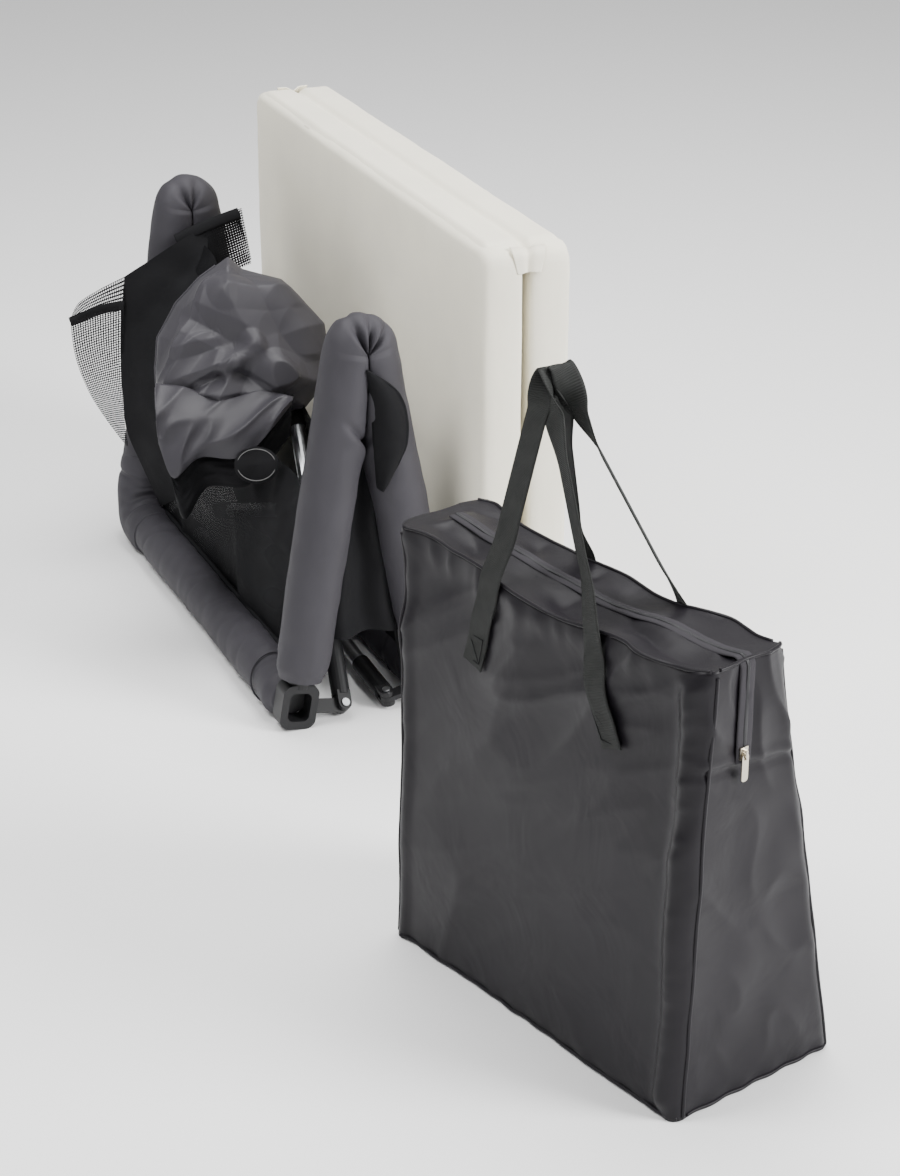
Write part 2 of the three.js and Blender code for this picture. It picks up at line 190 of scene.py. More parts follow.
def grid(name, rows, columns, point, wrap=False, caps=False, size=(1.0, 1.0)):
    """A surface of point(u, v), u along the rows; wrap closes v, and caps closes both ends."""
    count = columns if wrap else columns + 1
    points, uvs, faces = [], [], []
    for i in range(rows + 1):
        for j in range(count):
            u, v = i / rows, j / columns
            points.append(Vector(point(u, v)))
            uvs.append((u * size[0], v * size[1]))
    for i in range(rows):
        for j in range(columns):
            a, b = i * count + j, i * count + (j + 1) % count
            faces.append((a, b, b + count, a + count))
    if caps:
        for start, step in ((0, -1), (rows * count, 1)):
            ring = [start + j for j in range(count)]
            hub = len(points)
            points.append(sum((points[k] for k in ring), Vector()) / count)
            uvs.append(uvs[start])
            for j in range(count):
                pair = (ring[j], ring[(j + 1) % count])
                faces.append((hub, *pair[::step]))
    return add_mesh(name, points, faces, uvs)


def thicken(piece, thickness):
    """Gives a sheet two faces and an edge."""
    mesh = piece.data
    count = len(mesh.vertices)
    front = [v.co.copy() for v in mesh.vertices]
    back = [v.co - v.normal * thickness for v in mesh.vertices]
    faces = [tuple(f.vertices) for f in mesh.polygons]
    edges = dict.fromkeys((a, b) for face in faces for a, b in zip(face, face[1:] + face[:1]))
    rim = [(a, b) for a, b in edges if (b, a) not in edges]
    layer = mesh.uv_layers.active
    uvs = [(0.0, 0.0)] * count
    for loop in mesh.loops:
        uvs[loop.vertex_index] = tuple(layer.data[loop.index].uv)
    back_faces = [tuple(i + count for i in reversed(f)) for f in faces]
    sides = [(b, a, a + count, b + count) for a, b in rim]
    fresh = add_mesh(piece.name + "_two", front + back, faces + back_faces + sides, uvs + uvs)
    name = piece.name
    bpy.data.objects.remove(piece)
    fresh.name = name
    return fresh


def tube(name, path, radius, sides=10, steps=60, flat=1.0, up=(0, 0, 1)):
    """A round or flattened tube along a path of points."""
    def point(u, v):
        here, ahead = along(path, u), along(path, min(u + 0.004, 1.0))
        behind = along(path, max(u - 0.004, 0.0))
        forward = (ahead - behind).normalized()
        side = forward.cross(Vector(up)).normalized()
        lift = side.cross(forward)
        angle = v * tau
        return here + (side * cos(angle) + lift * flat * sin(angle)) * radius
    return grid(name, steps, sides, point, wrap=True, caps=True, size=(length_of(path, 40), 0.02))


# ---- Materials ---------------------------------------------------------------------------------
class Look:
    """A material while it is being built, with short ways to add to its nodes."""

    def __init__(self, name, roughness, metallic=0.0, sheen=0.0, coat=0.0, gloss=0.5):
        self.material = bpy.data.materials.new(name)
        self.material.use_nodes = True
        self.nodes = self.material.node_tree.nodes
        self.links = self.material.node_tree.links
        self.shader = self.nodes["Principled BSDF"]
        values = {"Roughness": roughness, "Metallic": metallic, "Specular IOR Level": gloss,
                  "Sheen Weight": sheen, "Sheen Roughness": 0.4, "Coat Weight": coat,
                  "Coat Roughness": 0.35}
        for socket, value in values.items():
            self.shader.inputs[socket].default_value = value

    def add(self, kind, inputs=()):
        """A new node, each listed input set to a number or linked to another node's output."""
        node = self.nodes.new(kind)
        for socket, value in dict(inputs).items():
            if isinstance(value, (int, float)):
                node.inputs[socket].default_value = value
            else:
                self.links.new(value, node.inputs[socket])
        return node

    def mottle(self, colour, spread, scale, coords):
        """Slow colour variation around one colour."""
        cloud = self.add("ShaderNodeTexNoise", {"Scale": scale, "Detail": 5, "Vector": coords})
        ramp = self.add("ShaderNodeValToRGB", {"Fac": cloud.outputs["Fac"]})
        for stop, place, change in zip(ramp.color_ramp.elements, (0.32, 0.68), (-spread, spread)):
            stop.position = place
            stop.color = [min(c * (1 + change), 1) for c in colour] + [1]
        self.links.new(ramp.outputs["Color"], self.shader.inputs["Base Color"])

    def bands(self, coords, scale, direction):
        """Parallel threads or ribs."""
        texture = self.add("ShaderNodeTexWave", {"Scale": scale, "Distortion": 0.6, "Detail": 1,
                                                 "Vector": coords})
        texture.bands_direction = direction
        return texture.outputs["Fac"]

    def creases(self, coords, scale, detail=3):
        """Uneven hollows: creases when they are large, grain when they are fine."""
        texture = self.add("ShaderNodeTexNoise", {"Scale": scale, "Detail": detail,
                                                  "Distortion": 0.7, "Vector": coords})
        return texture.outputs["Fac"]

    def combine(self, operation, first, second=0.0):
        """Arithmetic on node outputs or numbers."""
        node = self.add("ShaderNodeMath", {0: first, 1: second})
        node.operation = operation
        return node.outputs[0]

    def bump(self, height, strength, distance, before=None):
        """Relief on the shader, over an earlier relief where there is one."""
        node = self.add("ShaderNodeBump", {"Strength": strength, "Distance": distance,
                                           "Height": height})
        if before:
            self.links.new(before, node.inputs["Normal"])
        self.links.new(node.outputs["Normal"], self.shader.inputs["Normal"])
        return node.outputs["Normal"]


def woven(name, colour, roughness=0.85, sheen=0.0, coat=0.0, gloss=0.2, thread=420.0,
          weave=0.25, crease=0.3, crease_scale=22.0, spread=0.09):
    """Woven cloth: a fine weave over soft creases, with slightly uneven colour."""
    look = Look(name, roughness, sheen=sheen, coat=coat, gloss=gloss)
    coords = look.add("ShaderNodeTexCoord").outputs["Object"]
    look.mottle(colour, spread, 9.0, coords)
    soft = look.bump(look.creases(coords, crease_scale), crease, 0.004)
    warp, weft = look.bands(coords, thread, "DIAGONAL"), look.bands(coords, thread, "Z")
    look.bump(look.combine("ADD", warp, weft), weave, 0.0004, soft)
    return look.material


def ribbed(name, colour):
    """Webbing: ribs across the strap."""
    look = Look(name, 0.7, gloss=0.15)
    coords = look.add("ShaderNodeTexCoord").outputs
    look.mottle(colour, 0.14, 60.0, coords["Object"])
    look.bump(look.bands(coords["UV"], 140.0, "X"), 0.55, 0.0009)
    return look.material


def netting(name, colour, cover):
    """Knitted net: rows of small holes between threads, smaller where cover is nearer to 1."""
    look = Look(name, 0.8, gloss=0.1)
    coords = look.add("ShaderNodeTexCoord").outputs
    look.mottle(colour, 0.2, 30.0, coords["Object"])
    flat = look.add("ShaderNodeSeparateXYZ", {0: coords["UV"]}).outputs
    turns = [look.combine("SINE", look.combine("MULTIPLY", flat[axis], pi / NET_PITCH))
             for axis in ("X", "Y")]
    hole = look.combine("ABSOLUTE", look.combine("MULTIPLY", *turns))
    look.links.new(look.combine("LESS_THAN", hole, cover), look.shader.inputs["Alpha"])
    look.bump(hole, 0.3, 0.0006)
    return look.material


def hard(name, colour, roughness, metallic=0.0, grain=90.0, strength=0.06, gloss=0.5):
    """Metal, plastic or rubber with a fine grain."""
    look = Look(name, roughness, metallic=metallic, gloss=gloss)
    coords = look.add("ShaderNodeTexCoord").outputs["Object"]
    look.mottle(colour, 0.05, 40.0, coords)
    look.bump(look.creases(coords, grain, 6), strength, 0.001)
    return look.material


SLATE = woven("slate_padded_fabric", (0.036, 0.034, 0.040), 0.62, gloss=0.26, crease=0.32,
              crease_scale=15.0, weave=0.18)
NYLON = woven("slate_coated_nylon", (0.034, 0.032, 0.038), 0.50, coat=0.02, gloss=0.32,
              crease=0.14, crease_scale=12.0, weave=0.06)
BAG = woven("charcoal_coated_nylon", (0.0085, 0.0074, 0.0096), 0.40, gloss=0.18,
            crease=0.55, crease_scale=10.0, weave=0.12)
CREAM = woven("cream_mattress_fabric", (0.85, 0.81, 0.68), 0.9, sheen=0.1, thread=300.0,
              crease=0.2, crease_scale=11.0, spread=0.025)
BLACK_CLOTH = woven("black_binding", (0.008, 0.008, 0.009), 0.8, gloss=0.12)
NET = netting("black_netting", (0.008, 0.008, 0.009), 0.60)
DENSE_NET = netting("black_netting_folded", (0.007, 0.007, 0.008), 0.97)
WEBBING = ribbed("dark_webbing", (0.021, 0.022, 0.021))
STITCH = woven("pale_stitching", (0.15, 0.15, 0.15), 0.8, thread=900.0)
SILVER = hard("silver_tube", (0.66, 0.67, 0.69), 0.28, metallic=1.0, grain=160.0)
BLACK_PLASTIC = hard("black_moulded_plastic", (0.011, 0.011, 0.012), 0.45, gloss=0.3)
RUBBER = hard("black_rubber", (0.010, 0.010, 0.010), 0.85, gloss=0.15)
ZIP_METAL = hard("zip_metal", (0.50, 0.46, 0.38), 0.3, metallic=1.0)
BUTTON = hard("button_plastic", (0.25, 0.25, 0.26), 0.5)
TEETH = hard("zip_coil", (0.016, 0.016, 0.018), 0.5, grain=400.0, strength=0.4, gloss=0.3)
ZIP_TAPE = woven("zip_tape", (0.030, 0.028, 0.032), 0.7, gloss=0.15)

NODE_LOOKS = {"silver_tube": SILVER, "black_plastic": BLACK_PLASTIC, "black_rubber": RUBBER,
              "zip_metal": ZIP_METAL, "button_plastic": BUTTON, "webbing": WEBBING,
              "grey_fabric": SLATE, "grey_nylon": NYLON, "black_mesh": NET,
              "cream_fabric": CREAM, "bag_nylon": BAG}


def dress_nodes():
    """Gives every CAD node the look of its material slot."""
    for row in frame["record"]["subparts"]:
        node = frame["nodes"][row["node"]]
        node.data.materials.clear()
        node.data.materials.append(NODE_LOOKS[row["material_slot"]])


def finish_piece(piece, look, body, slot_name, *nodes):
    """Gives a new piece its look and body, and hides the CAD nodes that it replaces; slot_name is not
    used.
    """
    piece.data.materials.append(look)
    if body:
        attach(piece, body)
    if nodes:
        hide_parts(*nodes)
    return piece


# ---- Padded frame ------------------------------------------------------------------------------
def in_half(side, x, y, z):
    """A point given in the axes of a frame half: x into the fold, z up the rails."""
    out = x * cos(TILT) + z * sin(TILT)
    up = z * cos(TILT) - x * sin(TILT)
    return Vector((HINGE_X + (out if side == "near" else -out), y, HINGE_Z + up))


# Gathers over the tip of each rail: their angles, their width and how deep they are.
TIP_GATHERS = {"right": ((-0.35, 0.25, 0.8), 0.15, 1.0), "left": ((-0.45, 0.30), 0.22, 0.62)}


def tip_gather(name, turn):
    """How far the cloth is drawn in at one angle over the tip."""
    folds, width, depth = TIP_GATHERS[name]
    return depth * sum(bell(turn - fold, width) for fold in folds)


def sleeve_point(name, seed):
    """The padded sleeve of one bent rail, from the near corner over the tip to the far corner."""
    tip = Vector((HINGE_X, HINGE[name].y, HINGE_Z + TIP_RISE))
    arc = pi - 2 * TILT
    near_low = in_half("near", -TUBE_OFFSET, tip.y, SLEEVE_END_GAP - RAIL_LENGTH)
    near_top = tip + Vector((-cos(TILT), 0, sin(TILT))) * TIP_RADIUS
    leg_length = (near_top - near_low).length

    def point(u, v):
        side = -1 if u < 0.5 else 1
        along_leg = min(u, 1 - u) / (0.5 - TIP_SHARE / 2)
        angle = v * tau
        on_arc = along_leg > 1
        turn = 0.0
        if on_arc:
            turn = (u - 0.5) / TIP_SHARE * arc
            outward = Vector((sin(turn), 0, cos(turn)))
            middle = tip + outward * TIP_RADIUS
        else:
            outward = Vector((side * cos(TILT), 0, sin(TILT)))
            middle = near_low.lerp(near_top, along_leg)
            if side > 0:
                middle.x = 2 * HINGE_X - middle.x
        to_end = min(along_leg, 1.0) * leg_length
        from_tip = leg_length - to_end
        radius = SLEEVE_RADIUS * (0.86 + 0.14 * smooth(0.0, 0.02, to_end))
        radius *= 1 + 0.03 * bell(from_tip - 0.30, 0.12)
        place = middle + outward * radius * cos(angle) + Vector((0, radius * sin(angle), 0))
        radius += 0.0022 * wave(place, 11, seed) + 0.0012 * wave(place, 34, seed + 4)
        radius -= 0.0030 * ridge(place, 14, seed + 9) * bell(to_end, 0.07)
        slant = (from_tip - 0.125) + 0.030 * cos(angle + 0.6)
        inside = smooth(0.5, -0.6, cos(angle)) * (1 if side < 0 else 0.4)
        radius -= 0.0095 * bell(slant, 0.006) * inside
        radius += 0.0055 * bell(slant - 0.017, 0.016) * inside
        slack = smooth(0.24, 0.0, from_tip)
        radius -= 0.0035 * ridge(place, 20, seed + 2) * slack * (0.3 + 0.7 * max(-cos(angle), 0))
        sideways = sin(angle)
        if on_arc:
            reach = TIP_RADIUS + radius * cos(angle)
            inner = smooth(0.070, 0.016, reach)
            gather = tip_gather(name, turn)
            wide = radius * sideways * (1 - 0.10 * inner)
            wide -= 0.019 * gather * sideways * (0.42 + 0.58 * inner)
            reach = max(reach, 0.0015) - 0.0050 * gather * (1 - 0.7 * bell(sideways, 0.4))
            return tip + outward * reach + Vector((0, wide, 0))
        place = middle + outward * radius * cos(angle) + Vector((0, radius * sideways, 0))
        limit = HINGE_X + side * 0.0012
        if (place.x - limit) * side < 0:
            place.x = limit
        return place
    return point


def build_rail_sleeves():
    """Both padded bent rails, each one piece that folds at the tip."""
    for name, seed in (("right", 3.0), ("left", 21.0)):
        sleeve = grid(f"rail_cover_{name}", 230, 56, sleeve_point(name, seed), wrap=True,
                      size=(1.3, 0.27))
        finish_piece(sleeve, SLATE, None, "grey_fabric",
                     f"rail_sleeve_near_{name}", f"rail_sleeve_far_{name}")
        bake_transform(sleeve)


def build_end_sleeve(side):
    """The padded end rail, resting on the floor, gathered at both corners."""
    middle = in_half(side, -TUBE_OFFSET, 0, -RAIL_LENGTH)
    start, end = RIGHT_Y + 0.022, LEFT_Y - 0.060
    seed = 40.0 if side == "near" else 60.0
    inward = 1 if side == "near" else -1

    def point(u, v):
        y = start + (end - start) * u
        angle = v * tau
        from_end = min(u, 1 - u) * (end - start)
        radius = END_RADIUS * (0.74 + 0.26 * smooth(0.0, 0.022, from_end))
        outward = Vector((cos(angle), 0, sin(angle)))
        place = Vector((middle.x, y, middle.z)) + outward * radius
        radius += 0.0025 * wave(place, 10, seed) + 0.0012 * wave(place, 38, seed)
        gather = bell(from_end, 0.09) + 0.35
        radius -= 0.0050 * ridge((place.x * 0.6, y * 2.0, place.z * 0.6), 11, seed) * gather
        radius += 0.003 * bell(sin(angle) - 0.9, 0.3) * wave((y, 0, 0), 25, seed)
        place = Vector((middle.x, y, middle.z)) + outward * radius
        place.z = max(place.z, FLOOR_GAP)
        return place
    sleeve = grid(f"{side}_end_cover", 190, 48, point, wrap=True, caps=True, size=(0.8, 0.26))
    finish_piece(sleeve, SLATE, f"{side}_half", "grey_fabric", f"{side}_end_sleeve")
    edge = radians(52)
    inset = 0.03
    rim = [(middle.x + inward * END_RADIUS * cos(edge),
            start + inset + (end - start - 2 * inset) * k / 8,
            middle.z + END_RADIUS * sin(edge) + 0.002) for k in range(9)]
    binding = tube(f"{side}_end_binding", rim, 0.0045, sides=8, steps=90)
    finish_piece(binding, BLACK_CLOTH, f"{side}_half", "black_mesh")
    seam_y = start + 0.075
    ring = []
    for k in range(25):
        angle = radians(-70 + 280 * k / 24)
        lean = 0.012 * sin(angle)
        ring.append((middle.x - cos(angle) * END_RADIUS * inward, seam_y + lean,
                     max(middle.z + sin(angle) * (END_RADIUS - 0.0004), 0.003)))
    seam = tube(f"{side}_end_seam", ring, 0.0016, sides=6, steps=60, up=(0, 1, 0))
    finish_piece(seam, SLATE, f"{side}_half", "grey_fabric")


def build_corner_cover(side):
    """Padded fabric that carries on round the left corner, over the bracket."""
    corner = in_half(side, -TUBE_OFFSET, 0, -RAIL_LENGTH)
    inward_x = tan(TILT) if side == "near" else -tan(TILT)
    seed = 71.0 if side == "near" else 77.0
    upright, bend, level = 0.055, 0.070, 0.035
    turn_length = bend * pi / 2
    total = upright + turn_length + level

    def middle_of(run):
        """Height above the end rail, distance from the corner along it, and heading."""
        if run < upright:
            return bend + upright - run, 0.0, 0.0
        if run < upright + turn_length:
            angle = (run - upright) / bend
            return bend - bend * sin(angle), bend - bend * cos(angle), angle
        return 0.0, bend + run - upright - turn_length, pi / 2

    def point(u, v):
        run = u * total
        high, back, heading = middle_of(run)
        angle = v * tau
        radius = CORNER_RADIUS - 0.0040 * (bell(run, 0.012) + bell(total - run, 0.012))
        outer = cos(angle)
        folds = 0.5 + 0.5 * cos(heading * 9 + 1.4 * wave((high, back, angle * 0.1), 18, seed))
        radius -= 0.0065 * folds * max(-outer, 0) * sin(heading * 2)
        radius -= 0.0040 * bell(run - 0.050 - 0.012 * sin(angle), 0.005) * smooth(
            -0.8, 0.6, abs(sin(angle)) - outer)
        radius += 0.0018 * wave((angle * 0.05, run, 0), 26, seed)
        place = Vector((corner.x + inward_x * high, LEFT_Y - back, corner.z + high))
        place += Vector((0, cos(heading), -sin(heading))) * radius * outer
        place.x += radius * sin(angle)
        place.z = max(place.z, FLOOR_GAP)
        return place
    cover = grid(f"{side}_corner_cover", 90, 48, point, wrap=True, caps=True, size=(0.2, 0.28))
    finish_piece(cover, SLATE, f"{side}_half", "grey_fabric", f"corner_bracket_{side}_left")


def build_rail_bindings():
    """Black edging where the netting is sewn to the inside of each rail."""
    for side in ("near", "far"):
        for name in ("right", "left"):
            y = HINGE[name].y + (0.016 if name == "right" else -0.016)
            path = [in_half(side, -TUBE_OFFSET + SLEEVE_RADIUS * 0.93, y, -0.185 - 0.34 * k / 6)
                    for k in range(7)]
            piece = tube(f"{side}_binding_{name}", path, 0.0042, sides=8, steps=50, up=(0, 1, 0))
            finish_piece(piece, BLACK_CLOTH, f"{side}_half", "black_mesh")


# ---- Netting between the rails -----------------------------------------------------------------
def build_near_wall():
    """Netting from the near end rail up to the tips, slack, passing behind the gathered floor."""
    bottom = 0.548

    def point(u, v):
        y = LEFT_Y - 0.035 - (SPAN_Y - 0.075) * u
        top = 0.035 + 0.23 * smooth(0.10, 0.65, u)
        depth = bottom + (top - bottom) * v
        slack = sin(pi * v)
        x = -TUBE_OFFSET + 0.03 - 0.032 * slack * smooth(1.0, 0.5, u)
        place = in_half("near", x, y, -depth)
        push = 0.012 * wave((y * 3, 0, depth * 1.2), 3.5, 5) + 0.006 * ridge(place, 9, 7)
        return place + Vector((-push - 0.02 * smooth(0.3, 0.0, u) * slack, 0, 0))
    wall = grid("near_netting", 120, 70, point, size=(NET_WIDTH, 0.5))
    finish_piece(wall, DENSE_NET, "near_half", "black_mesh", "near_mesh_wall")


def build_far_wall():
    """Netting from the far end rail up to the gathered floor, lowest beside the right rail."""
    bottom = 0.545

    def point(u, v):
        y = RIGHT_Y + 0.035 + (SPAN_Y - 0.07) * u
        top = 0.065 + 0.17 * smooth(0.70, 0.25, u)
        depth = bottom + (top - bottom) * v
        slack = sin(pi * v) * sin(pi * u)
        place = in_half("far", -TUBE_OFFSET + 0.022 + 0.008 * slack, y, -depth)
        return place + Vector((0.010 * wave((y * 2.5, 1, depth), 4, 12), 0, 0))
    wall = grid("far_netting", 110, 60, point, size=(NET_WIDTH, 0.46))
    finish_piece(wall, DENSE_NET, "far_half", "black_mesh", "far_mesh_wall")


def build_side_wall(name):
    """Folded side netting between the two legs of a bent rail."""
    y = HINGE[name].y
    outwards = -1 if name == "right" else 1

    def point(u, v):
        depth = 0.09 + 0.375 * u
        half_gap = TUBE_OFFSET + depth * tan(TILT)
        x = HINGE_X + (v * 2 - 1) * half_gap
        pleat = 0.010 * sin(v * tau * 2.5 + 2 * wave((depth, 0, 0), 9, 3))
        bulge = outwards * (0.010 * sin(pi * v) - 0.012)
        z = HINGE_Z - depth * cos(TILT) + 0.006 * wave((x, depth, 0), 18, 2)
        return Vector((x, y + bulge + pleat, z))
    wall = grid(f"{name}_side_netting", 90, 40, point, size=(SIDE_NET_WIDTH, 0.16))
    finish_piece(wall, BLACK_CLOTH, None, "black_mesh", f"{name}_mesh_wall")
    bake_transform(wall)


def build_crescent():
    """A fold of black cloth that bulges out between the legs of the right rail."""
    inner = [(HINGE_X - 0.006, 0, 0.590), (HINGE_X + 0.006, 0, 0.53), (HINGE_X + 0.010, 0, 0.46),
             (HINGE_X + 0.016, 0, 0.395)]
    outer = [(HINGE_X - 0.004, 0, 0.592), (HINGE_X + 0.048, 0, 0.545), (HINGE_X + 0.058, 0, 0.47),
             (HINGE_X + 0.018, 0, 0.393)]

    def point(u, v):
        edge = along(inner, u).lerp(along(outer, u), v)
        lift = 0.014 * sin(pi * min(v * 1.1, 1)) * sin(pi * u) ** 0.5
        edge.y = RIGHT_Y - SLEEVE_RADIUS - 0.004 - lift + 0.018 * (1 - v) + 0.002 * wave(edge, 60, 3)
        return edge
    piece = thicken(grid("crescent_fold", 50, 18, point, size=(0.2, 0.05)), 0.003)
    finish_piece(piece, BLACK_CLOTH, "far_half", "black_mesh")


def beside_left(*points):
    """Points that are given from the left rail along y."""
    return [Vector((x, LEFT_Y + y, z)) for x, y, z in points]


def ruled(name, first, second, look, body, sag=0.0, grain=0.003):
    """A sheet stretched between two lines of points, with a slight sag towards the viewer."""
    def point(u, v):
        place = along(first, u).lerp(along(second, u), v)
        lift = sag * sin(pi * v) + grain * wave(place, 22, 8)
        return place + TOWARDS * lift
    length = length_of(first, 20)
    width = sum((along(first, k / 4) - along(second, k / 4)).length for k in range(5)) / 5
    piece = grid(name, 70, 30, point, size=(length, width))
    finish_piece(piece, look, body, "black_mesh")


def build_left_netting():
    """Slack netting that wraps round the left bent rail and hangs out beyond it in a loop."""
    drape_outer = beside_left((-0.198, -0.048, 0.510), (-0.211, -0.053, 0.415),
                              (-0.216, -0.058, 0.315), (-0.213, -0.063, 0.231),
                              (-0.190, -0.068, 0.160), (-0.165, -0.088, 0.085))
    drape_inner = beside_left((-0.051, -0.068, 0.590), (-0.060, -0.098, 0.540),
                              (-0.100, -0.158, 0.480), (-0.120, -0.198, 0.400),
                              (-0.135, -0.228, 0.300), (-0.122, -0.228, 0.162))
    ruled("left_net_drape", drape_outer, drape_inner, BLACK_CLOTH, "near_half",
          sag=0.012, grain=0.006)
    band_line = beside_left((-0.204, -0.058, 0.462), (-0.230, -0.018, 0.446),
                            (-0.256, 0.022, 0.424), (-0.279, 0.032, 0.413))
    back_top = beside_left((-0.198, -0.048, 0.510), (-0.230, 0.012, 0.472),
                           (-0.263, 0.032, 0.445), (-0.280, 0.032, 0.415))
    ruled("left_net_back", back_top, band_line, NET, "near_half", grain=0.0015)
    loop_outer = beside_left((-0.279, 0.032, 0.413), (-0.274, 0.032, 0.348),
                             (-0.256, 0.027, 0.283), (-0.231, 0.012, 0.230),
                             (-0.212, -0.048, 0.195))
    loop_inner = beside_left((-0.204, -0.058, 0.462), (-0.209, -0.058, 0.398),
                             (-0.213, -0.058, 0.324), (-0.215, -0.058, 0.258),
                             (-0.211, -0.058, 0.198))
    ruled("left_net_loop", loop_outer, loop_inner, NET, "near_half",
          sag=0.010, grain=0.0015)
    band = tube("left_net_band", band_line, 0.0085, steps=50, flat=0.35, up=TOWARDS)
    finish_piece(band, BLACK_CLOTH, "near_half", "black_mesh")


def build_upper_netting():
    """The top edge of the far netting, doubled over behind the gathered floor."""
    top = beside_left((-0.104, -0.058, 0.568), (-0.054, -0.073, 0.592), (0.006, -0.083, 0.611))
    fold_low = beside_left((-0.089, -0.088, 0.500), (-0.040, -0.098, 0.505), (0.022, -0.093, 0.520))
    back_low = beside_left((-0.080, -0.070, 0.500), (-0.030, -0.080, 0.505), (0.030, -0.070, 0.520))
    ruled("upper_net_fold", top, fold_low, NET, "far_half")
    ruled("upper_net_back", [p + Vector((0.012, 0.022, 0.002)) for p in top], back_low,
          NET, "far_half", grain=0.004)
    band = tube("upper_net_band", top, 0.0100, steps=50, flat=0.3, up=TOWARDS)
    finish_piece(band, BLACK_CLOTH, "far_half", "black_mesh")


# ---- Gathered nylon floor ----------------------------------------------------------------------
# The bundle's middle, and its outline seen from the camera, across and up from that middle.
BUNDLE = Vector((-0.115, 0.50, 0.470))
BUNDLE_OUTLINE = [(0.150, 0.000), (0.142, 0.055), (0.100, 0.100), (0.070, 0.128), (0.005, 0.146),
                  (-0.018, 0.166), (-0.064, 0.132), (-0.104, 0.088), (-0.134, 0.030),
                  (-0.138, -0.020), (-0.132, -0.090), (-0.106, -0.165), (-0.060, -0.150),
                  (0.030, -0.140), (0.085, -0.090), (0.110, -0.085), (0.140, -0.045),
                  (0.150, 0.000)]

# Folds in the bundle: start and end (across, up), half width and height; negative ones go inward.
BUNDLE_FOLDS = [((-0.020, 0.090), (0.066, -0.026), 0.050, 0.017),
                ((0.066, -0.026), (0.150, -0.050), 0.040, 0.014),
                ((-0.014, 0.100), (0.096, 0.115), 0.034, 0.011),
                ((-0.050, 0.104), (-0.110, -0.030), 0.030, 0.008),
                ((-0.104, -0.040), (-0.010, -0.008), 0.028, 0.013),
                ((-0.080, 0.060), (0.010, 0.020), 0.026, -0.010),
                ((0.024, 0.016), (-0.027, -0.070), 0.026, 0.014),
                ((-0.104, -0.120), (-0.019, -0.092), 0.024, 0.012),
                ((-0.061, -0.064), (0.034, -0.066), 0.020, 0.011),
                ((-0.090, -0.070), (-0.030, -0.040), 0.016, -0.012),
                ((0.066, -0.026), (0.030, -0.094), 0.028, 0.012),
                ((0.075, 0.040), (0.120, -0.010), 0.040, -0.007),
                ((-0.100, 0.010), (-0.040, 0.030), 0.018, 0.007),
                ((-0.115, -0.085), (-0.060, -0.100), 0.014, -0.009),
                ((0.000, -0.030), (0.040, -0.060), 0.016, -0.009)]


def fold_distance(across, up, start_at, end_at):
    """Distance from one point to a fold line."""
    run_across, run_up = end_at[0] - start_at[0], end_at[1] - start_at[1]
    share = ((across - start_at[0]) * run_across + (up - start_at[1]) * run_up) / (
        run_across ** 2 + run_up ** 2)
    share = min(max(share, 0.0), 1.0)
    return hypot(across - start_at[0] - run_across * share, up - start_at[1] - run_up * share)


def bundle_edge(turn):
    """Distance from the bundle's middle to its outline, in one direction."""
    way_across, way_up = cos(turn), sin(turn)
    reach = 0.0
    for (across, up), (next_across, next_up) in zip(BUNDLE_OUTLINE, BUNDLE_OUTLINE[1:]):
        run_across, run_up = next_across - across, next_up - up
        cross = way_across * run_up - way_up * run_across
        if abs(cross) < 1e-9:
            continue
        distance = (across * run_up - up * run_across) / cross
        share = (across * way_up - up * way_across) / cross
        if distance > 0 and -0.001 <= share <= 1.001:
            reach = max(reach, distance)
    return reach


def build_bundle():
    """The gathered floor: a crumpled, shiny mass of nylon hung between the rails."""
    edges = [bundle_edge(tau * k / 360) for k in range(360)]

    def point(u, v):
        turn = tau * v
        before, part = divmod(v * 360 % 360, 1)
        low, high = edges[int(before)], edges[(int(before) + 1) % 360]
        edge = low + (high - low) * part
        latitude = pi * (u - 0.5)
        reach = edge * cos(latitude) ** 0.55
        flat = ACROSS * (reach * cos(turn)) + UPWARDS * (reach * sin(turn))
        bulge = sin(latitude)
        depth = 0.070 if bulge > 0 else 0.055
        place = BUNDLE + flat + TOWARDS * (bulge * depth)
        across, up = flat.dot(ACROSS), flat.dot(UPWARDS)
        warped = place + Vector((wave(place, 6, 1), wave(place, 6, 2), wave(place, 6, 3))) * 0.06
        creased = smooth(0.12, -0.04, across * 0.75 + up * 0.5)
        fan = atan2(up + 0.13, across + 0.15)
        away = hypot(up + 0.13, across + 0.15)
        folds = 0.012 + 0.006 * ridge(warped, 4.6, 11)
        folds += 0.009 * ridge((fan * 0.55, away * 0.9, 0.2 * bulge), 5.0, 15) * creased
        drift_across, drift_up = 0.012 * wave(place, 8, 4), 0.012 * wave(place, 8, 5)
        for start_at, end_at, width, height in BUNDLE_FOLDS:
            off = fold_distance(across + drift_across, up + drift_up, start_at, end_at)
            folds += height * max(0.0, 1 - sqrt(off * off + 0.0000012) / width)
        hold = 0.16 + 0.84 * smooth(0.0, 0.55, abs(bulge))
        normal = (flat * 1.2 + TOWARDS * bulge * 0.10).normalized()
        return place + normal * (min(folds, 0.045) - 0.022) * hold
    bundle = grid("gathered_floor", 210, 300, point, wrap=True, caps=True, size=(0.6, 0.9))
    finish_piece(bundle, NYLON, "far_half", "grey_nylon", "floor_fabric")
    left_edge = [point(0.53, 0.29 + 0.33 * k / 30) + TOWARDS * 0.001 for k in range(31)]
    hem = tube("gathered_floor_hem", left_edge, 0.0024, sides=8, steps=150)
    finish_piece(hem, SLATE, "far_half", "grey_fabric")


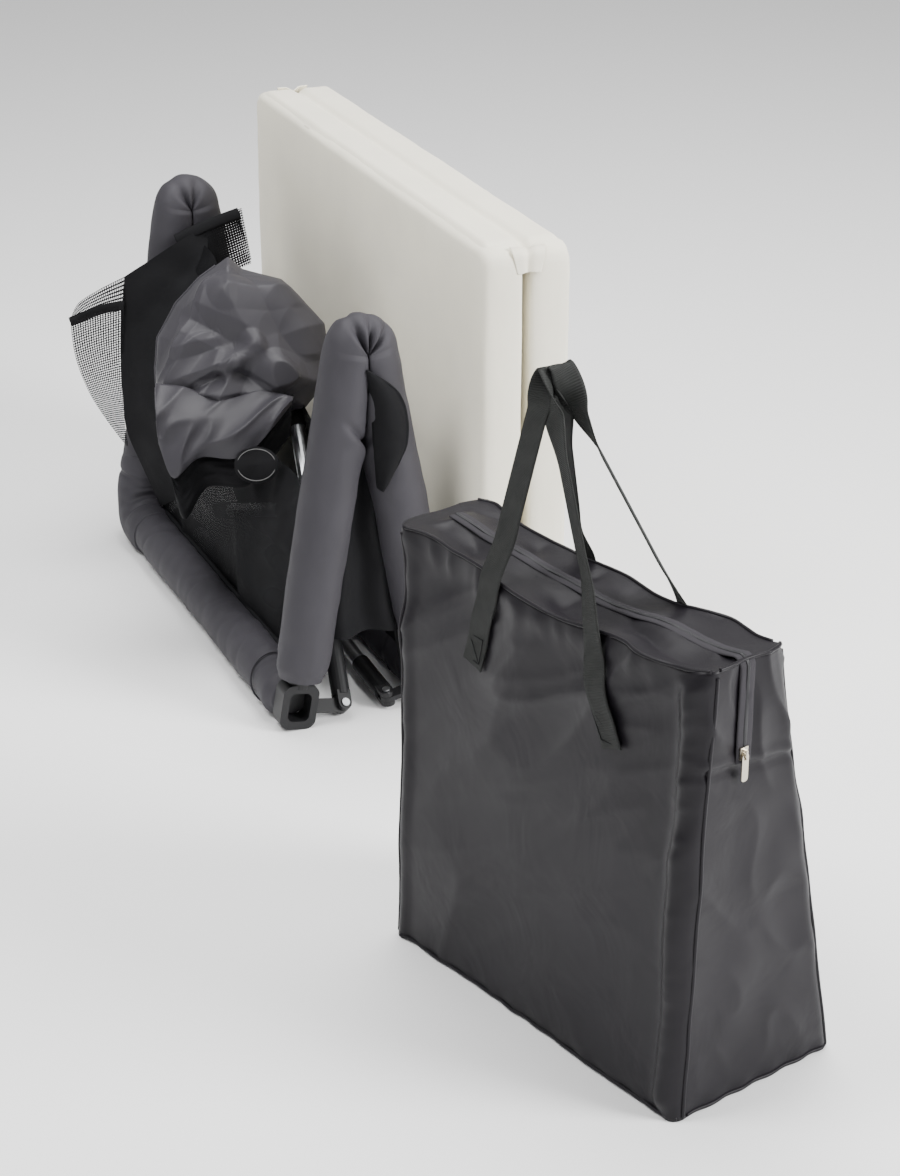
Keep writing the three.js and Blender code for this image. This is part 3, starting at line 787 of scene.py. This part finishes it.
def build_floor_flap():
    """The lower hem of the floor turns over in a flap, with the black underside below it."""
    top = [(-0.130, -0.050), (-0.085, -0.055), (-0.020, -0.075), (0.040, -0.062), (0.095, -0.072)]
    low = [(-0.122, -0.150), (-0.098, -0.205), (-0.055, -0.172), (0.018, -0.168), (0.092, -0.086)]

    def at(pair, lift):
        """A point across, up and towards the camera from the bundle's middle."""
        return BUNDLE + ACROSS * pair[0] + UPWARDS * pair[1] + TOWARDS * lift

    upper = [at(p, 0.066) for p in top]
    lower = [at(p, 0.085) for p in low]

    def point(u, v):
        place = along(upper, u).lerp(along(lower, u), v)
        lift = 0.018 * sin(pi * v) + 0.010 * wave((u * 1.6, v * 0.8, 0), 2.2, 4)
        lift += 0.010 * ridge((u * 1.1 + v * 0.25, v * 0.35, 0.3), 3.4, 6)
        return place + TOWARDS * lift
    flap = thicken(grid("floor_flap", 80, 40, point, size=(FLAP_WIDTH, 0.15)), 0.0012)
    finish_piece(flap, NYLON, "far_half", "grey_nylon")
    inner = [at((x, y + 0.02), 0.055) for x, y in low]
    under = [at((x * 0.92 + 0.004, y - 0.045 - 0.02 * (k == 1)), 0.045) for k, (x, y) in enumerate(low)]

    def beneath(u, v):
        """The lining, from behind the flap's edge downwards."""
        place = along(inner, u).lerp(along(under, u), v)
        return place + TOWARDS * (0.012 * sin(pi * v) + 0.006 * wave((u, v, 0), 9, 14))
    lining = thicken(grid("floor_underside", 70, 20, beneath, size=(FLAP_WIDTH, 0.07)), 0.0012)
    finish_piece(lining, BLACK_CLOTH, "far_half", "black_mesh")


def build_pull_tab():
    """An oval tab with a row of pale stitching round it."""
    middle = centre("pull_tab") + TOWARDS * 0.045 + Vector((-0.008, 0, 0.008))

    def point(u, v):
        angle = v * tau
        ring = sin(pi * min(u, 1 - u)) if u not in (0, 1) else 0.0
        size = ring * (1 + 0.03 * wave((cos(angle), sin(angle), 0), 3, 1))
        face = 0.0035 * (1 if u < 0.5 else -1) * (1 - ring ** 6)
        return (middle + ACROSS * (0.036 * size * cos(angle))
                + UPWARDS * (0.030 * size * sin(angle))
                + TOWARDS * (face + 0.004 * cos(angle * 2) * size))
    tab = grid("pull_loop", 16, 48, point, wrap=True, size=(0.07, 0.2))
    finish_piece(tab, BLACK_CLOTH, "far_half", "webbing", "pull_tab")
    turns = [tau * k / 32 for k in range(33)]
    seam = [middle + ACROSS * (0.031 * cos(turn)) + UPWARDS * (0.0255 * sin(turn))
            + TOWARDS * 0.0042 for turn in turns]
    stitch = tube("pull_loop_stitching", seam, 0.0007, sides=6, steps=120)
    finish_piece(stitch, STITCH, "far_half", "webbing")


def build_tie_loop():
    """A webbing loop that ties on at the far right corner."""
    corner = centre("corner_bracket_far_right")
    path = [corner + Vector(p) for p in ((-0.030, 0.00, 0.050), (-0.050, -0.02, 0.036),
                                         (-0.045, -0.045, 0.022), (-0.010, -0.050, 0.020),
                                         (0.012, -0.035, 0.034), (0.004, -0.012, 0.050))]
    piece = tube("tie_strap", path, 0.0050, sides=8, steps=60, flat=0.35)
    finish_piece(piece, WEBBING, "far_half", "webbing")


# ---- Mattress ----------------------------------------------------------------------------------
def mattress_origin():
    """The front panel's lower corner, on the floor at its right end."""
    low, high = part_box("mattress_front_panel")
    return Vector((low.x, high.y - MATTRESS_LENGTH * cos(MATTRESS_TURN), 0))


MATTRESS_ORIGIN = mattress_origin()


def in_mattress(x, y, z):
    """x through the thickness, y along the length, z up, from the front panel's lower corner."""
    return turned(MATTRESS_ORIGIN, MATTRESS_TURN, x, y, z)


def build_panel(name, node, body, start, seed):
    """A foam panel in a sewn cover: crowned faces, soft edges, slightly uneven."""
    half_y, half_z, half_x = MATTRESS_LENGTH / 2, MATTRESS_HEIGHT / 2, PANEL_THICKNESS / 2
    outline = (MATTRESS_LENGTH, MATTRESS_HEIGHT, PANEL_CORNER)
    total = sum(side_run(k, *outline) for k in range(4))

    def round_panel(v):
        """A point of the panel's outline, from the panel's middle."""
        run, k = v * total, 0
        while k < 3 and run > side_run(k, *outline):
            run -= side_run(k, *outline)
            k += 1
        y, z = rounded_side(k, run, *outline)
        return y - half_y, z - half_z

    def point(u, v):
        """u from the middle of the front face over the narrow side to the middle of the back."""
        y, z = round_panel(v)
        face = u * 2 - 1
        side = 1 if face > 0 else -1
        over = min(abs(face) / PANEL_WRAP, 1.0)
        spread = 1 - max(abs(face) - PANEL_WRAP, 0.0) / (1 - PANEL_WRAP)
        bend = over * pi / 2
        x = side * sin(bend) ** 0.8 * half_x
        pull = PANEL_EDGE * (1 - cos(bend) ** 0.7)
        y *= (half_y - pull) / half_y * spread
        z *= (half_z - pull) / half_z * spread
        crown = 0.0015 * (1 - spread)
        dent = 0.0020 * wave((x * 2, y, z), 5, seed) + 0.0007 * wave((x, y, z), 24, seed)
        pucker = 0.0016 * wave((x * 3, y, z), 42, seed + 5) * bell(1 - spread, 0.05)
        x += side * (crown + dent * over)
        y += copysign(pucker, y)
        z = max(z + copysign(pucker, z) * (z > 0), -half_z + 0.0005) + half_z
        z += 0.0015 * wave((x * 4, y, 0), 6, seed + 8) * smooth(0.5, 1.0, z / MATTRESS_HEIGHT)
        return in_mattress(start + half_x + x, y + half_y, max(z, 0.0004))
    panel = grid(name, 60, 260, point, wrap=True, caps=True, size=(1.0, 3.6))
    finish_piece(panel, CREAM, body, "cream_fabric", node)


def build_spine():
    """The strip of cover that joins both panels along the top, where the mattress folds."""
    total = 2 * PANEL_THICKNESS + PANEL_GAP

    def point(u, v):
        y = 0.016 + (MATTRESS_LENGTH - 0.032) * u
        x = 0.004 + (total - 0.008) * v
        dip = 0.011 * bell(x - total / 2, 0.0085) * (0.6 + 0.5 * bell(min(u, 1 - u), 0.03))
        drop = 0.010 * (bell(v, 0.05) + bell(1 - v, 0.05))
        ends = 0.010 * bell(min(u, 1 - u), 0.012)
        z = MATTRESS_HEIGHT + 0.0040 - dip - drop - ends + 0.0013 * wave((x * 2, y, 0), 14, 2)
        return in_mattress(x, y, z)
    strip = grid("mattress_top_strip", 170, 46, point, size=(SPINE_WIDTH, 0.14))
    spine = thicken(strip, 0.0022)
    finish_piece(spine, CREAM, None, "cream_fabric", "mattress_spine")
    gussets = []
    for end, outward, label in ((0.0, -1, "right"), (MATTRESS_LENGTH, 1, "left")):
        def closing(u, v, end=end, outward=outward):
            """One open end of the spine, drawn in between the panels."""
            x = total / 2 + (v - 0.5) * 0.058 * (1 - 0.35 * u)
            drop = -0.001 + 0.041 * u - 0.006 * bell(v - 0.5, 0.2) * u + 0.006 * bell(v - 0.5, 0.15)
            y = end - outward * (0.0012 + 0.008 * bell(u, 0.22) + 0.006 * bell(v - 0.5, 0.14))
            return in_mattress(x, y, MATTRESS_HEIGHT - drop)
        gusset = grid(f"mattress_gusset_{label}", 24, 24, closing, size=(0.034, GUSSET_WIDTH))
        if outward > 0:
            gusset.data.flip_normals()
        gusset = thicken(gusset, 0.0015)
        finish_piece(gusset, CREAM, None, "cream_fabric")
        gussets.append(gusset)
    for piece in (spine, *gussets):
        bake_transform(piece)


# ---- Carry bag ---------------------------------------------------------------------------------
def bag_origin():
    """The bag's lower front corner at the far end, on the floor."""
    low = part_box("bag_shell")[0]
    return Vector((low.x, low.y + BAG_LENGTH * cos(BAG_TURN), 0))


BAG_ORIGIN = bag_origin()


def in_bag(x, y, z):
    """x through the depth from the front, y from the zip end (0) along the length, z up."""
    return turned(BAG_ORIGIN, BAG_TURN, x, y - BAG_LENGTH, z)


DEPTH_WAY = (in_bag(1, 0, 0) - in_bag(0, 0, 0)).normalized()
LENGTH_WAY = (in_bag(0, 1, 0) - in_bag(0, 0, 0)).normalized()


def bag_limits(share):
    """The bag's front, back and corner radius at a share of its height."""
    front = BAG_TOP_FRONT * share
    back = BAG_DEPTH + (BAG_TOP_BACK - BAG_DEPTH) * share
    return front, back, min(BAG_CORNER, (back - front) / 3)


def bag_section(t, share):
    """The bag's outline at a share of its height; t from 0 to 1 round it, zip end first."""
    front, back, corner = bag_limits(share)
    k = 0
    while k < 3 and t > BAG_SIDE_SHARES[k]:
        t -= BAG_SIDE_SHARES[k]
        k += 1
    outline = (back - front, BAG_LENGTH, corner)
    x, y = rounded_side(k, t / BAG_SIDE_SHARES[k] * side_run(k, *outline), *outline)
    return front + x, y


def bag_sag(y):
    """How far the top dips between the ends: most in the middle."""
    share = y / BAG_LENGTH
    return 0.016 * sin(pi * share) + 0.006 * wave((share * 2, 0, 0), 3, 3)


def bag_surface(t, z):
    """A point of the bag's wall at height z, with its bulge, drag lines and corner folds."""
    share = z / BAG_HEIGHT
    x, y = bag_section(t, share)
    front, back = bag_limits(share)[:2]
    length_share = y / BAG_LENGTH
    to_front, to_back = x - front, back - x
    on_front = bell(to_front, 0.006)
    on_back = bell(to_back, 0.006)
    on_near = bell(y, 0.006)
    on_far = bell(BAG_LENGTH - y, 0.006)
    belly = sin(pi * min(max(length_share, 0), 1)) * sin(pi * share) ** 0.8
    drag = ridge((y + z * 0.7, z * 0.5 - y * 0.25, 0), 5.5, 31)
    drag_fine = ridge((y * 1.2 + z * 1.5, z * 0.6, 0), 11, 37)
    upper = smooth(0.25, 1.0, share)
    pull = sum(bell(hypot(y - foot, (z - 0.47) * 0.8), 0.13) for foot in (0.14, 0.40))
    slope = y * 0.55 + z * 0.84
    pleat = ridge((slope, (y * 0.84 - z * 0.55) * 0.22, 0), 13, 43)
    relief = 0.0110 * (drag - 0.5) * (0.25 + 0.75 * upper) + 0.0040 * (drag_fine - 0.5) * (
        0.3 + 0.7 * min(pull, 1.0)) + 0.0075 * pleat * (0.12 + 0.88 * smooth(0.40, 0.85, share))
    under_seam = ridge((y, z * 0.25, 0), 26, 47) * bell(BAG_HEIGHT - 0.018 - z, 0.022)
    beside_seam = ridge((z, y * 0.3, 0), 30, 48) * bell(y - 0.020, 0.016)
    relief += 0.0045 * under_seam + 0.0040 * beside_seam * share ** 0.3
    x -= on_front * (0.002 * belly + relief + 0.0022 * wave((y, z, 0), 7, 41))
    x += on_back * (0.002 * belly + relief)
    seam = 0.0100 * bell(y - 0.022, 0.013) * smooth(0.0, 0.05, share) * smooth(1.0, 0.93, share)
    seam += 0.004 * bell(BAG_LENGTH - y - 0.018, 0.010)
    wobble = 1 + 0.45 * wave((z, 0, 0), 16, 6)
    x -= on_front * seam * wobble
    middle = (x - front) / max(back - front, 0.01)
    above = smooth(ZIP_BOTTOM - 0.02, ZIP_BOTTOM + 0.02, z)
    end_fold = (0.003 + 0.004 * above) * ridge((x * 1.4, z * 1.1 + x, 0), 10, 51)
    end_fold += 0.0025 * wave((x, z, 0), 14, 52)
    end_fold *= smooth(0.0, 0.10, z)
    end_fold *= 1 - 0.95 * bell(x - ZIP_X, 0.024) * above
    cross = z - (ZIP_BOTTOM - 0.010 + 0.02 * (0.5 - middle))
    gather = 0.0045 * bell(cross, 0.006) - 0.004 * bell(cross - 0.012, 0.006)
    inset = end_fold - 0.001 - 0.003 * sin(pi * min(max(middle, 0), 1)) * sin(pi * share)
    y -= on_near * (inset - gather * 0.7)
    y += on_far * (0.003 * belly + end_fold * 0.6)
    hem = sin((x + y) * 130 + 2 * wave((x, y, 0), 9, 61)) * bell(z, 0.014)
    x -= on_front * hem * 0.0008
    y -= on_near * hem * 0.0014
    return x, y


def wall_x(on_front, y, z):
    """Depth of the bag's front or back wall at one place."""
    corner = bag_limits(z / BAG_HEIGHT)[2]
    total = side_run(1, 0, BAG_LENGTH, corner)
    run = BAG_LENGTH - corner - y if on_front else y - corner
    start = sum(BAG_SIDE_SHARES[:3 if on_front else 1])
    return bag_surface(start + BAG_SIDE_SHARES[1] * run / total, z)[0]


def wall_point(t, z):
    """A point on the wall, with the sag of the bag's top."""
    x, y = bag_surface(t, z)
    return in_bag(x, y, z - bag_sag(y) * smooth(0.80, 1.0, z / BAG_HEIGHT))


def build_bag():
    """The bag's cloth: base, walls and a top that runs in to the zip."""
    wall, top, base = 110, 26, 14
    rows = wall + top + base

    def point(u, v):
        row = u * rows
        if row < base:
            share = row / base
            x, y = bag_surface(v, 0.0)
            x = BAG_DEPTH / 2 + (x - BAG_DEPTH / 2) * share
            y = BAG_LENGTH / 2 + (y - BAG_LENGTH / 2) * (0.55 + 0.45 * share)
            return in_bag(x, y, 0.0006 + 0.002 * (1 - share))
        if row <= base + wall:
            place = wall_point(v, BAG_HEIGHT * ((row - base) / wall) ** 0.97)
            place.z = max(place.z, 0.0006)
            return place
        share = (row - base - wall) / top
        x, y = bag_surface(v, BAG_HEIGHT)
        middle_y = min(max(y, 0.045), BAG_LENGTH - 0.045)
        x = x + (ZIP_X - x) * share
        y = y + (middle_y - y) * share
        slack = sin(pi * share)
        dip = 0.005 * slack ** 2 + 0.008 * (ridge((x * 1.5, y, 0), 9, 71) - 0.5) * slack
        z = BAG_HEIGHT - bag_sag(y) + 0.0048 * smooth(0.0, 1.0, share) - dip * (
            0.4 + 0.6 * sin(pi * min(max(y / BAG_LENGTH, 0), 1)))
        return in_bag(x, y, z)
    bag = grid("carry_bag", rows, 300, point, wrap=True, size=(0.9, 1.6))
    finish_piece(bag, BAG, "bag", "bag_nylon", "bag_shell")


def build_piping():
    """Sewn piping along the bag's edges, lying on the wall."""
    for name, t in (("front_end", 0.9995), ("back_end", 0.163), ("front_far", 0.664)):
        path = [wall_point(t, z) for z in np.linspace(0.004, 0.592, 14)]
        piece = tube(f"bag_piping_{name}", path, PIPING_RADIUS, sides=8, steps=110, up=(1, 0, 0))
        finish_piece(piece, BAG, "bag", "bag_nylon")
    for name, section in (("top_front", (0.672, 0.995)), ("top_back", (0.175, 0.495)),
                          ("top_end", (0.004, 0.162)), ("base_front", (0.672, 0.995)),
                          ("base_end", (0.004, 0.162))):
        at_top = name.startswith("top")
        path = []
        for t in np.linspace(*section, 22):
            x, y = bag_surface(t, BAG_HEIGHT - 0.001 if at_top else 0.004)
            path.append(in_bag(x, y, BAG_HEIGHT - bag_sag(y) if at_top else 0.004))
        piece = tube(f"bag_piping_{name}", path, PIPING_RADIUS, sides=8, steps=120)
        finish_piece(piece, BAG, "bag", "bag_nylon")


def zip_line(run):
    """Where the zip runs: along the top, then over the edge and, below 0, down the zip end."""
    if run >= 0:
        return in_bag(ZIP_X, run, BAG_HEIGHT - bag_sag(run) + 0.0058)
    return in_bag(ZIP_X + 0.002, -ZIP_INSET, BAG_HEIGHT - bag_sag(0) + run)


def build_zip():
    """The zip's tape, and its teeth just above it."""
    drop = BAG_HEIGHT - ZIP_BOTTOM

    def ribbon(name, width, lift, look, *nodes):
        """A strip along the whole zip, lifted off the cloth."""
        def point(u, v):
            run = u * (BAG_LENGTH - 0.03 + drop) - drop
            share = min(max((run + ZIP_TURN) / (2 * ZIP_TURN), 0.0), 1.0)
            normal = (LENGTH_WAY * (share - 1) + UP * share).normalized()
            place = zip_line(run)
            if 0 < share < 1:
                place = zip_line(-ZIP_TURN).lerp(zip_line(ZIP_TURN), share)
                place += normal * 0.003 * sin(pi * share)
            wavy = 0.0008 * wave((run, v, 0), 40, 2)
            rise = lift + wavy - 0.0012 * (2 * v - 1) ** 4
            return place + DEPTH_WAY * ((v - 0.5) * width) + normal * rise
        piece = thicken(grid(name, 220, 8, point, size=(BAG_LENGTH + drop, width)), 0.0010)
        finish_piece(piece, look, "bag", "black_mesh", *nodes)
    ribbon("zip_tape", 0.024, 0.0, ZIP_TAPE, "bag_zip_tape")
    ribbon("zip_teeth", 0.0055, 0.0010, TEETH)


def build_strap(name, side, feet, apex, hinge_x, lean, twists):
    """A webbing handle: sewn ends on the panel, then two runs that meet at the hand grip.

    Side is -1 for the bag's front and 1 for its back.
    """
    apex_y, rise = apex

    def panel(y, z):
        """A point just off the bag's wall, clear of the folds either side of it."""
        walls = [side * wall_x(side < 0, y + k * 0.009, z) for k in (-2, -1, 0, 1, 2)]
        return in_bag(side * (max(walls) + 0.0012), y, z)

    def free(y, height):
        """A point above the bag, on the plane that the handle leans in."""
        return in_bag(hinge_x + sin(lean) * height, y, BAG_HEIGHT + cos(lean) * height)

    def rising(foot, shift):
        """One run of the strap, from its foot up the panel and on to the grip."""
        foot_y, foot_z = foot
        slope = (apex_y - foot_y) / (BAG_HEIGHT + rise - foot_z)
        edge_y = foot_y + slope * (BAG_HEIGHT - foot_z) + shift
        on_panel = [panel(foot_y + (edge_y - foot_y) * k / 4,
                          foot_z + (BAG_HEIGHT - 0.006 - foot_z) * k / 4) for k in range(5)]
        above = [free(edge_y + (apex_y - edge_y) * k / 7, rise * 0.95 * k / 7) for k in range(1, 7)]
        return on_panel + above

    path = rising(feet[0], STRAP_SHIFT_LEFT) + [free(apex_y, rise)]
    path += rising(feet[1], STRAP_SHIFT_RIGHT)[::-1]

    def point(u, v):
        here = along(path, u)
        ahead, behind = along(path, min(u + 0.006, 1)), along(path, max(u - 0.006, 0))
        forward = (ahead - behind).normalized()
        turn = side * pi / 2 * (smooth(0.44, 0.5, u) + smooth(0.5, 0.56, u))
        turn += twists[0] * smooth(0.10, 0.24, u) * smooth(0.46, 0.38, u)
        turn += twists[1] * smooth(0.90, 0.76, u) * smooth(0.54, 0.62, u)
        across = LENGTH_WAY * cos(turn) + DEPTH_WAY * sin(turn)
        across = (across - forward * across.dot(forward)).normalized()
        cup = 0.0012 * (2 * v - 1) ** 2
        thick = forward.cross(across).normalized()
        return here + across * ((v - 0.5) * STRAP_WIDTH) + thick * cup
    piece = thicken(grid(name, 260, 8, point, size=(1.0, STRAP_WIDTH)), 0.0018)
    finish_piece(piece, WEBBING, None, "webbing", "bag_" + name)
    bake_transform(piece)
    for label, (y, z) in zip(("left", "right"), feet):
        slope = (apex_y - y) / (BAG_HEIGHT + rise - z)
        outward = (panel(y, z) - in_bag(0.07, y, z)).normalized() * 0.0016
        box = [(-0.014, 0.006), (0.014, 0.006), (0.014, 0.040), (-0.014, 0.040)]
        corners = [panel(y + slope * dz + dy, z + dz) + outward
                   for dy, dz in (*box, box[0], box[2])]
        for k, (begin, end) in enumerate(zip(corners, corners[1:])):
            line = [begin.lerp(end, s / 3) for s in range(4)]
            stitch = tube(f"{name}_{label}_stitch_{k + 1}", line, 0.0005, sides=5, steps=14)
            finish_piece(stitch, BLACK_CLOTH, "bag", "webbing")


def build_handles():
    """The two handles, each leaning over the zip from its own panel."""
    build_strap("handle_front", -1, [(BAG_LENGTH - 0.156, 0.462), (BAG_LENGTH - 0.418, 0.452)],
                (BAG_LENGTH - 0.215, 0.262), BAG_TOP_FRONT, radians(12),
                (0.0, radians(22)))
    build_strap("handle_back", 1, [(BAG_LENGTH - 0.175, 0.462), (BAG_LENGTH - 0.425, 0.462)],
                (BAG_LENGTH - 0.222, 0.262), BAG_TOP_BACK, radians(-12.5),
                (radians(24), radians(33)))


# ---- Floor, light and camera -------------------------------------------------------------------
def add_light(name, place, size, power):
    """A round soft light aimed at the middle of the set."""
    data = bpy.data.lights.new(name, "AREA")
    data.shape = "DISK"
    data.size = size
    data.energy = power
    lamp = bpy.data.objects.new(name, data)
    lamp.location = place
    aim = Vector((0, 0, 0.3)) - Vector(place)
    lamp.rotation_euler = aim.to_track_quat("-Z", "Y").to_euler()
    bpy.context.scene.collection.objects.link(lamp)


def build_studio():
    """A pale floor, an even surround and three soft lights."""
    floor = grid("studio_floor", 2, 2, lambda u, v: Vector(((u - 0.5) * 60, (v - 0.5) * 60, -0.0004)))
    floor.data.flip_normals()
    look = Look("studio_floor", 0.9)
    look.shader.inputs["Base Color"].default_value = (0.93, 0.93, 0.93, 1)
    floor.data.materials.append(look.material)
    world = bpy.data.worlds.new("studio")
    world.use_nodes = True
    world.node_tree.nodes["Background"].inputs["Color"].default_value = (1, 1, 1, 1)
    world.node_tree.nodes["Background"].inputs["Strength"].default_value = 0.58
    bpy.context.scene.world = world
    add_light("key", (2.9, -3.4, 2.6), 2.2, 380)
    add_light("fill", (-1.7, -0.5, 3.3), 1.3, 88)
    add_light("top", (0.6, 0.6, 4.4), 2.8, 205)


def build_camera():
    """The camera, placed from the frame's near right corner as in the photo."""
    corner = in_half("near", -TUBE_OFFSET, RIGHT_Y, -RAIL_LENGTH)
    data = bpy.data.cameras.new("camera")
    data.lens = CAMERA_LENS
    camera = bpy.data.objects.new("camera", data)
    camera.location = (corner.x + CAMERA_FROM_CORNER[0], corner.y + CAMERA_FROM_CORNER[1],
                       CAMERA_HEIGHT)
    camera.rotation_euler = (pi / 2 - CAMERA_TILT, 0, -CAMERA_TURN)
    bpy.context.scene.collection.objects.link(camera)
    bpy.context.scene.camera = camera


build_camera()
build_studio()
dress_nodes()
build_rail_sleeves()
for half in ("near", "far"):
    build_end_sleeve(half)
for half in ("near", "far"):
    build_corner_cover(half)
build_rail_bindings()
build_near_wall()
build_far_wall()
for rail in ("right", "left"):
    build_side_wall(rail)
build_crescent()
build_left_netting()
build_upper_netting()
build_bundle()
build_floor_flap()
build_pull_tab()
build_tie_loop()
build_panel("mattress_front_cover", "mattress_front_panel", "mattress", 0.0, 80)
build_panel("mattress_back_cover", "mattress_back_panel", "mattress_back",
            PANEL_THICKNESS + PANEL_GAP, 90)
build_spine()
build_bag()
build_piping()
build_zip()
build_handles()
